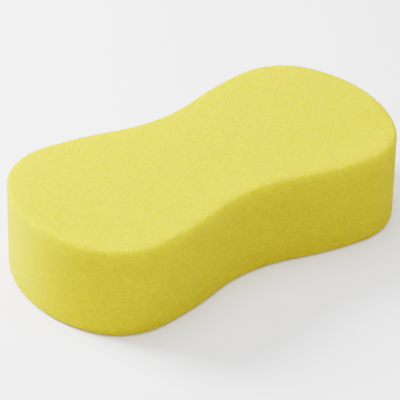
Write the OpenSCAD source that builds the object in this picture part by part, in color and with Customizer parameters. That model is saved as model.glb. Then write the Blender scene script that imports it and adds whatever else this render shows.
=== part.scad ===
// Figure-eight foam sponge: one block of open-cell foam cut from a slab.
// Millimetres, +Z up. The origin is the centre of the underside.
// The outline is made of arcs that run smoothly into one another.
// It's the same on both sides of the XZ and YZ planes.

/* [Block] */
// Length along X, end to end
block_l = 220; // [214:1:232]
// Greatest width along Y, across a lobe
block_w = 110; // [106:1:112]
// Thickness of the slab that the block is cut from
block_t = 52; // [20:1:80]

/* [Outline] */
// Width across the waist
waist_w = 86; // [82:1:90]
// Radius of the flatter arc at each end
end_r = 72; // [70:1:78]
// Radius of the tighter arc at each shoulder
shoulder_r = 36; // [34:1:38]
// Radius of the long arc from a shoulder to the waist
flank_r = 180; // [165:5:200]
// Radius of the hollow arc at the waist
waist_r = 84; // [78:1:90]

/* [Hidden] */
$fn = 180;

// Neighbouring arcs lap by this much, so that they cross cleanly instead of only touching.
blend_lap = 0.02;

// The end arc: its centre is on the X axis.
end_x = block_l / 2 - end_r;

// The shoulder arc lies inside the end arc and touches it. It sets the greatest width.
shoulder_y = block_w / 2 - shoulder_r - blend_lap;
end_angle = asin(shoulder_y / (end_r - shoulder_r));
shoulder_x = end_x + (end_r - shoulder_r) * cos(end_angle);
end_touch_y = end_r * sin(end_angle);

// The waist arc: its centre is on the Y axis, outside the block.
waist_y = waist_w / 2 + waist_r + blend_lap;

// The flank arc touches the shoulder arc and the waist arc, so its centre is known
// from its distances to theirs. Of the two such points, it's the one below the X axis.
to_shoulder = flank_r - shoulder_r;
to_waist = flank_r + waist_r;
link = [-shoulder_x, waist_y - shoulder_y];
link_l = norm(link);
along = (to_shoulder ^ 2 - to_waist ^ 2 + link_l ^ 2) / (2 * link_l);
aside = sqrt(to_shoulder ^ 2 - along ^ 2);
flank_x = shoulder_x + (link[0] * along - link[1] * aside) / link_l;
flank_y = shoulder_y + (link[1] * along + link[0] * aside) / link_l;

// Where the flank arc meets the shoulder arc and the waist arc, along X.
shoulder_touch_x = flank_x + (shoulder_x - flank_x) * flank_r / to_shoulder;
waist_touch_x = flank_x * waist_r / to_waist;

// The end and the two shoulders of the lobe on the +X side.
module lobe() {
    intersection() {
        translate([end_x, 0])
            circle(end_r);
        translate([shoulder_x, -end_touch_y])
            square([end_r, 2 * end_touch_y]);
    }
    for (side = [-1, 1])
        translate([shoulder_x, side * shoulder_y])
            circle(shoulder_r + blend_lap);
}

// The flank of the quarter where x and y are positive.
module flank() {
    intersection() {
        translate([flank_x, flank_y])
            circle(flank_r);
        square([shoulder_touch_x, block_w / 2]);
    }
}

// The middle of the block, with the waist hollowed out of both sides.
module middle() {
    difference() {
        union() {
            translate([-waist_touch_x, -block_w / 2])
                square([2 * waist_touch_x, block_w]);
            for (mx = [0, 1], my = [0, 1])
                mirror([mx, 0]) mirror([0, my]) flank();
        }
        for (side = [-1, 1])
            translate([0, side * waist_y])
                circle(waist_r + blend_lap);
    }
}

// The whole sponge. It's one piece of foam, so it's one solid.
module foam_block() {
    color("khaki")
        linear_extrude(block_t) {
            middle();
            for (mx = [0, 1]) mirror([mx, 0]) lobe();
        }
}

foam_block();
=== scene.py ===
import math

import bpy
import numpy as np
from mathutils import Matrix, Vector, noise


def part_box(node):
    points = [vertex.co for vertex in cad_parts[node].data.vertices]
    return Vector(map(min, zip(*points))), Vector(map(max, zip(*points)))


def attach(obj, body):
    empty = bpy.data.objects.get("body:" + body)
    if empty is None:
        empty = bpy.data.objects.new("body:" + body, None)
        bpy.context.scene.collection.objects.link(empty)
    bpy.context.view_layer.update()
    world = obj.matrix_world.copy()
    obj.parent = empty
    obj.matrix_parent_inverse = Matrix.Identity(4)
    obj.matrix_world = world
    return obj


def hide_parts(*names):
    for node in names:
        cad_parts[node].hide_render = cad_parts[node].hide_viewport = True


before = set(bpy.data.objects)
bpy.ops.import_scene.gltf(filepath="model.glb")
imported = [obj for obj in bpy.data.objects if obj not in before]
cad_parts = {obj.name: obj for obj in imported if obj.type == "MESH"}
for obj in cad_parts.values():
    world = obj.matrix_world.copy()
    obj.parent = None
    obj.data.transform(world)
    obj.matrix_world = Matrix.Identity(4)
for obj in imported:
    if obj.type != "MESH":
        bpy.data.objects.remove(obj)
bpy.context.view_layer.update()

MM = 0.001
low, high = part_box("foam_block")
centre = (low + high) / 2
LENGTH, WIDTH, THICKNESS = high - low

# The outline's arcs. One quarter of it, where x and y are positive, is an end arc, a
# shoulder arc, a flank arc and a hollow waist arc, each touching the next.
WAIST_WIDTH = 86 * MM
END_R = 72 * MM
SHOULDER_R = 36 * MM
FLANK_R = 180 * MM
WAIST_R = 84 * MM

# The mesh: the distance between its points, which keeps it just under 200,000 triangles,
# the radius of its softened edges, how many rings of the outline run inside each edge
# before the even grid starts, and how many times that grid is smoothed.
PITCH = 0.89 * MM
EDGE_R = 2.6 * MM
RIM_RINGS = 4
SMOOTHING_PASSES = 300

# The surface of the foam: hollow cells, a fine grain, and slow waves left by the cut. A cell
# falls from its border to its full depth, which it reaches where its own centre is nearer
# than the next one by CELL / CELL_SLOPE.
SEED = 7
CELL = 2.0 * MM
CELL_DEPTH = 0.3 * MM
CELL_SLOPE = 1.6
GRAIN_DEPTH = 0.2 * MM
WAVE = 26 * MM
WAVE_DEPTH = 0.10 * MM

# The foam's material. A random mottle and painted shade in the pores together set its tone, from dark
# to pale: the pores' colour is darkened as shade in them would darken it.
FOAM_ALBEDO = 0.68
FOAM_COLOUR = (1.0, 0.788, 0.127)
DARK_TINT = (0.91, 0.905, 0.865)
PALE_TINT = (1.07, 1.075, 1.115)
TONE_AND_SHADE_RANGE = (0.2, 0.8)
MOTTLE = 2.0 * MM
MOTTLE_DETAIL = 3
MOTTLE_ROUGHNESS = 0.6
MOTTLE_HEIGHT = 0.7
PORE = 1.2 * MM
PORE_RANGE = (0.15, 0.6)
PORE_LEVELS = (0.65, -0.35)
PORE_SHARE = 0.25
BUMP = 1.4 * MM
ROUGHNESS_DARK = 1.0
ROUGHNESS_PALE = 0.85
SHEEN = 0.16
SHEEN_ROUGHNESS = 0.33
SCATTER_SHARE = 0.85
SCATTER_REACH = 10 * MM
FOAM_IOR = 1.3

# The studio: a broad floor that gives off a little light, and a sky that brightens
# towards the horizon, where it meets the floor.
FLOOR_HALF = 40.0
FLOOR_GREY = 0.9
FLOOR_ROUGHNESS = 0.8
FLOOR_GLOW = 0.1
SKY = 0.4
HORIZON = 0.46
HORIZON_TOP = 0.2
LAMP_COLOUR = (0.93, 0.93, 1.0)
LAMP_DISTANCE = 1.0
VIEW_GAMMA = 0.9

# The camera, at the photograph's angle. At azimuth 0 it looks along +Y. Its slide is sideways
# and up from the line to the sponge's centre.
CAMERA_AZIMUTH = math.radians(-37.322)
CAMERA_ELEVATION = math.radians(34.155)
CAMERA_ROLL = math.radians(1.275)
CAMERA_DISTANCE = 1.42224
CAMERA_LENS = 242.26
CAMERA_SENSOR = 36
CAMERA_SLIDE = (-2.134 * MM, -2.989 * MM)


def link_to_scene(thing):
    bpy.context.scene.collection.objects.link(thing)
    return thing


def polar(centre_point, radius, angle):
    """The point at that angle on a circle."""
    return centre_point + radius * np.array([math.cos(angle), math.sin(angle)])


def quarter_arcs():
    """The four arcs of one quarter: centre, radius, first angle, last angle, and which way is out."""
    shoulder_y = WIDTH / 2 - SHOULDER_R
    end = np.array([LENGTH / 2 - END_R, 0.0])
    end_angle = math.asin(shoulder_y / (END_R - SHOULDER_R))
    shoulder = polar(end, END_R - SHOULDER_R, end_angle)
    waist = np.array([0.0, WAIST_WIDTH / 2 + WAIST_R])
    # The flank arc's centre lies at a known distance from those of its two neighbours.
    to_shoulder = FLANK_R - SHOULDER_R
    to_waist = FLANK_R + WAIST_R
    link = waist - shoulder
    link_l = np.linalg.norm(link)
    along = (to_shoulder**2 - to_waist**2 + link_l**2) / (2 * link_l)
    aside = math.sqrt(to_shoulder**2 - along**2)
    across = np.array([-link[1], link[0]])
    flank = shoulder + (link * along + across * aside) / link_l
    out_of_flank = shoulder - flank
    flank_first = math.atan2(out_of_flank[1], out_of_flank[0])
    to_hollow = waist - flank
    flank_last = math.atan2(to_hollow[1], to_hollow[0])
    return [
        (end, END_R, 0.0, end_angle, 1),
        (shoulder, SHOULDER_R, end_angle, flank_first, 1),
        (flank, FLANK_R, flank_first, flank_last, 1),
        (waist, WAIST_R, flank_last - math.pi, -math.pi / 2, -1),
    ]


def arc_lengths(arcs):
    return [radius * abs(last - first) for _, radius, first, last, _ in arcs]


def quarter_points(arcs, stations):
    """Points of the quarter and the directions out of it, at these distances along it."""
    ends = np.cumsum(arc_lengths(arcs))
    points, outs = [], []
    for s in stations:
        i = min(int(np.searchsorted(ends, s)), len(arcs) - 1)
        middle, radius, first, last, way = arcs[i]
        start = ends[i - 1] if i else 0.0
        angle = first + (last - first) * (s - start) / (ends[i] - start)
        points.append(polar(middle, radius, angle))
        outs.append(way * polar(np.zeros(2), 1.0, angle))
    return np.array(points), np.array(outs)


def outline():
    """Evenly spaced points round the whole outline, the directions out of it, and how many steps
    lie on an end and on a side. The corners between ends and sides are the middles of the shoulders."""
    arcs = quarter_arcs()
    lengths = arc_lengths(arcs)
    to_corner = lengths[0] + lengths[1] / 2
    quarter_l = sum(lengths)
    half_end = round(to_corner / PITCH)
    half_side = round((quarter_l - to_corner) / PITCH)
    stations = np.concatenate([
        np.linspace(0, to_corner, half_end, endpoint=False),
        np.linspace(to_corner, quarter_l, half_side + 1),
    ])
    points, outs = quarter_points(arcs, stations)
    flip_x, flip_y = np.array([-1, 1]), np.array([1, -1])
    # Each quarter leaves out the point that the next one starts with.
    loop = [
        (points[:-1], outs[:-1]),
        (points[:0:-1] * flip_x, outs[:0:-1] * flip_x),
        (points[:-1] * flip_x * flip_y, outs[:-1] * flip_x * flip_y),
        (points[:0:-1] * flip_y, outs[:0:-1] * flip_y),
    ]
    ring = np.concatenate([p for p, _ in loop])
    out = np.concatenate([o for _, o in loop])
    # Start at the corner of the quarter where x is positive and y is negative.
    return np.roll(ring, half_end, 0), np.roll(out, half_end, 0), 2 * half_end, 2 * half_side


def fill_patch(ring, ends, sides):
    """An even grid of points inside a closed ring of 2 * (ends + sides) points. Each row runs along
    the sides, and its first and last points are on the ring."""
    right = ring[: ends + 1]
    far = ring[ends : ends + sides + 1][::-1]
    left = ring[ends + sides : 2 * ends + sides + 1][::-1]
    near = np.concatenate([ring[2 * ends + sides :], ring[:1]])
    u = np.linspace(0, 1, sides + 1)[None, :, None]
    v = np.linspace(0, 1, ends + 1)[:, None, None]
    grid = (
        (1 - v) * near[None] + v * far[None] + (1 - u) * left[:, None] + u * right[:, None]
        - (1 - u) * (1 - v) * near[0] - u * (1 - v) * near[-1]
        - (1 - u) * v * far[0] - u * v * far[-1]
    )
    for _ in range(SMOOTHING_PASSES):
        grid[1:-1, 1:-1] = (grid[:-2, 1:-1] + grid[2:, 1:-1] + grid[1:-1, :-2] + grid[1:-1, 2:]) / 4
    return grid


def cut_profile():
    """How far in from the outline, how high, and how far turned up from the wall each ring lies,
    from the rim of the underside to the rim of the top."""
    turns = round(EDGE_R * math.pi / 2 / PITCH) + 1
    rows = round((THICKNESS - 2 * EDGE_R) / PITCH)
    rim = [(EDGE_R + i * PITCH, THICKNESS, math.pi / 2) for i in range(RIM_RINGS, 0, -1)]
    bend = []
    for i in range(turns + 1):
        angle = math.pi / 2 * (1 - i / turns)
        inset = EDGE_R * (1 - math.cos(angle))
        bend.append((inset, THICKNESS - EDGE_R * (1 - math.sin(angle)), angle))
    upper = rim + bend
    lower = [(inset, THICKNESS - height, -angle) for inset, height, angle in upper]
    wall = [(0.0, EDGE_R + (THICKNESS - 2 * EDGE_R) * i / rows, 0.0) for i in range(1, rows)]
    return lower + wall + upper[::-1]


def sponge_mesh():
    """The vertices, the direction out of the foam at each, and the faces."""
    ring, out, ends, sides = outline()
    count = len(ring)
    points, normals, faces = [], [], []
    profile = cut_profile()
    for inset, height, angle in profile:
        flat = ring - out * inset
        points.append(np.column_stack([flat, np.full(count, height)]))
        normals.append(np.column_stack([out * math.cos(angle), np.full(count, math.sin(angle))]))
    for row in range(len(profile) - 1):
        a, b = row * count, (row + 1) * count
        for i in range(count):
            j = (i + 1) % count
            faces.append((a + i, a + j, b + j, b + i))
    # The underside and the top: an even grid inside the innermost ring of each.
    used = len(profile) * count
    for level, way in ((0, -1), (len(profile) - 1, 1)):
        rim = level * count
        grid = fill_patch(points[level][:, :2], ends, sides)
        index = np.full((ends + 1, sides + 1), -1)
        index[:, -1] = rim + np.arange(ends + 1)
        index[-1, ::-1] = rim + ends + np.arange(sides + 1)
        index[::-1, 0] = rim + ends + sides + np.arange(ends + 1)
        index[0, :-1] = rim + 2 * ends + sides + np.arange(sides)
        inner = grid[1:-1, 1:-1].reshape(-1, 2)
        index[1:-1, 1:-1] = used + np.arange(len(inner)).reshape(ends - 1, sides - 1)
        used += len(inner)
        height = points[level][0, 2]
        points.append(np.column_stack([inner, np.full(len(inner), height)]))
        normals.append(np.tile([0.0, 0.0, way], (len(inner), 1)))
        a, b = index[:-1, :-1], index[:-1, 1:]
        c, d = index[1:, 1:], index[1:, :-1]
        order = (a, b, c, d) if way > 0 else (a, d, c, b)
        faces += [tuple(int(v) for v in f) for f in np.stack(order, -1).reshape(-1, 4)]
    return np.concatenate(points), np.concatenate(normals), faces


def cell_depths(points):
    """How far the surface lies inside the uncut foam at each point: cells, grain and slow waves."""
    depths = np.empty(len(points))
    for i, p in enumerate(points):
        place = Vector(p)
        nearest, second = noise.voronoi(place / CELL)[0][:2]
        cell = min(1.0, (second - nearest) * CELL_SLOPE)
        grain = noise.random()
        wave = 0.5 + 0.5 * noise.noise(place / WAVE)
        depths[i] = CELL_DEPTH * cell + GRAIN_DEPTH * grain + WAVE_DEPTH * wave
    return depths


def make_sponge():
    noise.seed_set(SEED)
    points, normals, faces = sponge_mesh()
    shown = points - normals * cell_depths(points)[:, None]
    shown += np.array([centre.x, centre.y, low.z])
    shown[:, 2] = np.clip(shown[:, 2], low.z, high.z)
    mesh = bpy.data.meshes.new("sponge")
    mesh.from_pydata([tuple(p) for p in shown], [], faces)
    mesh.validate()
    mesh.polygons.foreach_set("use_smooth", np.ones(len(mesh.polygons), bool))
    return link_to_scene(bpy.data.objects.new("sponge", mesh))


def new_material(name):
    material = bpy.data.materials.new(name)
    material.use_nodes = True
    nodes = material.node_tree.nodes
    nodes.clear()
    shader = nodes.new("ShaderNodeBsdfPrincipled")
    output = nodes.new("ShaderNodeOutputMaterial")
    material.node_tree.links.new(shader.outputs["BSDF"], output.inputs["Surface"])
    return material, shader


def foam_material():
    """Matte yellow open-cell foam: light scatters inside it, its struts give a faint sheen, and painted
    shade darkens its pores.
    """
    material, shader = new_material("foam")
    nodes, links = material.node_tree.nodes, material.node_tree.links

    def spread(value, old_range, new_range):
        node = nodes.new("ShaderNodeMapRange")
        node.inputs["From Min"].default_value, node.inputs["From Max"].default_value = old_range
        node.inputs["To Min"].default_value, node.inputs["To Max"].default_value = new_range
        links.new(value, node.inputs["Value"])
        return node.outputs["Result"]

    def times(value, number):
        node = nodes.new("ShaderNodeMath")
        node.operation = "MULTIPLY"
        links.new(value, node.inputs[0])
        node.inputs[1].default_value = number
        return node.outputs["Value"]

    def minus(value, other):
        node = nodes.new("ShaderNodeMath")
        node.operation = "SUBTRACT"
        links.new(value, node.inputs[0])
        links.new(other, node.inputs[1])
        return node.outputs["Value"]

    place = nodes.new("ShaderNodeTexCoord").outputs["Object"]
    cloud = nodes.new("ShaderNodeTexNoise")
    cloud.inputs["Scale"].default_value = 1 / MOTTLE
    cloud.inputs["Detail"].default_value = MOTTLE_DETAIL
    cloud.inputs["Roughness"].default_value = MOTTLE_ROUGHNESS
    links.new(place, cloud.inputs["Vector"])
    mottle = cloud.outputs["Fac"]
    pores = nodes.new("ShaderNodeTexVoronoi")
    pores.inputs["Scale"].default_value = 1 / PORE
    links.new(place, pores.inputs["Vector"])
    # Painted shade: the pores darken the foam's colour as shade in them would, and the same pits also
    # sink its bump.
    pit_depth_and_shade = times(spread(pores.outputs["Distance"], PORE_RANGE, PORE_LEVELS), PORE_SHARE)
    tone_and_pore_shade = minus(mottle, pit_depth_and_shade)

    # The colour runs from the dark tint, in dark mottle and in the painted shade of the pores, to the
    # pale tint.
    colour = nodes.new("ShaderNodeMix")
    colour.data_type = "RGBA"
    for socket, tint in (("A", DARK_TINT), ("B", PALE_TINT)):
        shade = [FOAM_ALBEDO * c * t for c, t in zip(FOAM_COLOUR, tint)]
        colour.inputs[socket].default_value = (*shade, 1)
    links.new(spread(tone_and_pore_shade, TONE_AND_SHADE_RANGE, (0.0, 1.0)), colour.inputs["Factor"])
    links.new(colour.outputs["Result"], shader.inputs["Base Color"])

    bump = nodes.new("ShaderNodeBump")
    bump.inputs["Strength"].default_value = 1.0
    bump.inputs["Distance"].default_value = BUMP
    links.new(minus(times(mottle, MOTTLE_HEIGHT), pit_depth_and_shade), bump.inputs["Height"])
    links.new(bump.outputs["Normal"], shader.inputs["Normal"])
    links.new(spread(tone_and_pore_shade, TONE_AND_SHADE_RANGE, (ROUGHNESS_DARK, ROUGHNESS_PALE)), shader.inputs["Roughness"])

    shader.subsurface_method = "BURLEY"
    shader.inputs["IOR"].default_value = FOAM_IOR
    shader.inputs["Specular IOR Level"].default_value = 0.0
    shader.inputs["Sheen Weight"].default_value = SHEEN
    shader.inputs["Sheen Roughness"].default_value = SHEEN_ROUGHNESS
    shader.inputs["Subsurface Weight"].default_value = SCATTER_SHARE
    shader.inputs["Subsurface Radius"].default_value = (1.0, 1.0, 1.0)
    shader.inputs["Subsurface Scale"].default_value = SCATTER_REACH
    return material


def make_floor():
    mesh = bpy.data.meshes.new("floor")
    corners = [(x * FLOOR_HALF, y * FLOOR_HALF, low.z) for x, y in ((-1, -1), (1, -1), (1, 1), (-1, 1))]
    mesh.from_pydata(corners, [], [(0, 1, 2, 3)])
    material, shader = new_material("floor")
    shader.inputs["Base Color"].default_value = (FLOOR_GREY, FLOOR_GREY, FLOOR_GREY, 1)
    shader.inputs["Roughness"].default_value = FLOOR_ROUGHNESS
    shader.inputs["Emission Color"].default_value = (1, 1, 1, 1)
    shader.inputs["Emission Strength"].default_value = FLOOR_GLOW
    mesh.materials.append(material)
    link_to_scene(bpy.data.objects.new("floor", mesh))


def make_camera():
    az, el, roll = CAMERA_AZIMUTH, CAMERA_ELEVATION, CAMERA_ROLL
    right = Vector((math.cos(az), math.sin(az), 0))
    back = Vector((math.sin(az) * math.cos(el), -math.cos(az) * math.cos(el), math.sin(el)))
    up = back.cross(right)
    right, up = (
        right * math.cos(roll) + up * math.sin(roll),
        up * math.cos(roll) - right * math.sin(roll),
    )
    camera = link_to_scene(bpy.data.objects.new("camera", bpy.data.cameras.new("camera")))
    camera.data.lens = CAMERA_LENS
    camera.data.sensor_width = CAMERA_SENSOR
    place = centre + back * CAMERA_DISTANCE + right * CAMERA_SLIDE[0] + up * CAMERA_SLIDE[1]
    camera.matrix_world = Matrix.Translation(place) @ Matrix((right, up, back)).transposed().to_4x4()
    bpy.context.scene.camera = camera


def softbox(name, azimuth, elevation, size, power):
    """A square area light that faces the sponge. Its azimuth, in degrees, turns from +X towards +Y."""
    lamp = bpy.data.lights.new(name, "AREA")
    lamp.shape = "SQUARE"
    lamp.size = size
    lamp.energy = power
    lamp.color = LAMP_COLOUR
    az, el = math.radians(azimuth), math.radians(elevation)
    away = Vector((math.cos(az) * math.cos(el), math.sin(az) * math.cos(el), math.sin(el)))
    light = link_to_scene(bpy.data.objects.new(name, lamp))
    light.location = centre + away * LAMP_DISTANCE
    light.rotation_euler = away.to_track_quat("Z", "Y").to_euler()


def make_sky():
    world = bpy.data.worlds.new("studio")
    world.use_nodes = True
    nodes, links = world.node_tree.nodes, world.node_tree.links
    direction = nodes.new("ShaderNodeTexCoord").outputs["Generated"]
    parts = nodes.new("ShaderNodeSeparateXYZ")
    links.new(direction, parts.inputs["Vector"])
    rise = nodes.new("ShaderNodeMapRange")
    rise.interpolation_type = "SMOOTHSTEP"
    rise.inputs["From Max"].default_value = HORIZON_TOP
    rise.inputs["To Min"].default_value = HORIZON
    rise.inputs["To Max"].default_value = SKY
    links.new(parts.outputs["Z"], rise.inputs["Value"])
    background = nodes["Background"]
    background.inputs["Color"].default_value = (1, 1, 1, 1)
    links.new(rise.outputs["Result"], background.inputs["Strength"])
    bpy.context.scene.world = world


def make_lights():
    softbox("key", azimuth=120, elevation=35, size=0.4, power=17.6)
    softbox("fill", azimuth=300, elevation=15, size=0.7, power=0.8)
    softbox("top", azimuth=0, elevation=89.9, size=0.8, power=6.0)
    make_sky()
    view = bpy.context.scene.view_settings
    view.view_transform = "Filmic"
    view.look = "Very High Contrast"
    view.gamma = VIEW_GAMMA


make_camera()
sponge = make_sponge()
sponge.data.materials.append(foam_material())
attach(sponge, "root")
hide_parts("foam_block")
make_floor()
make_lights()
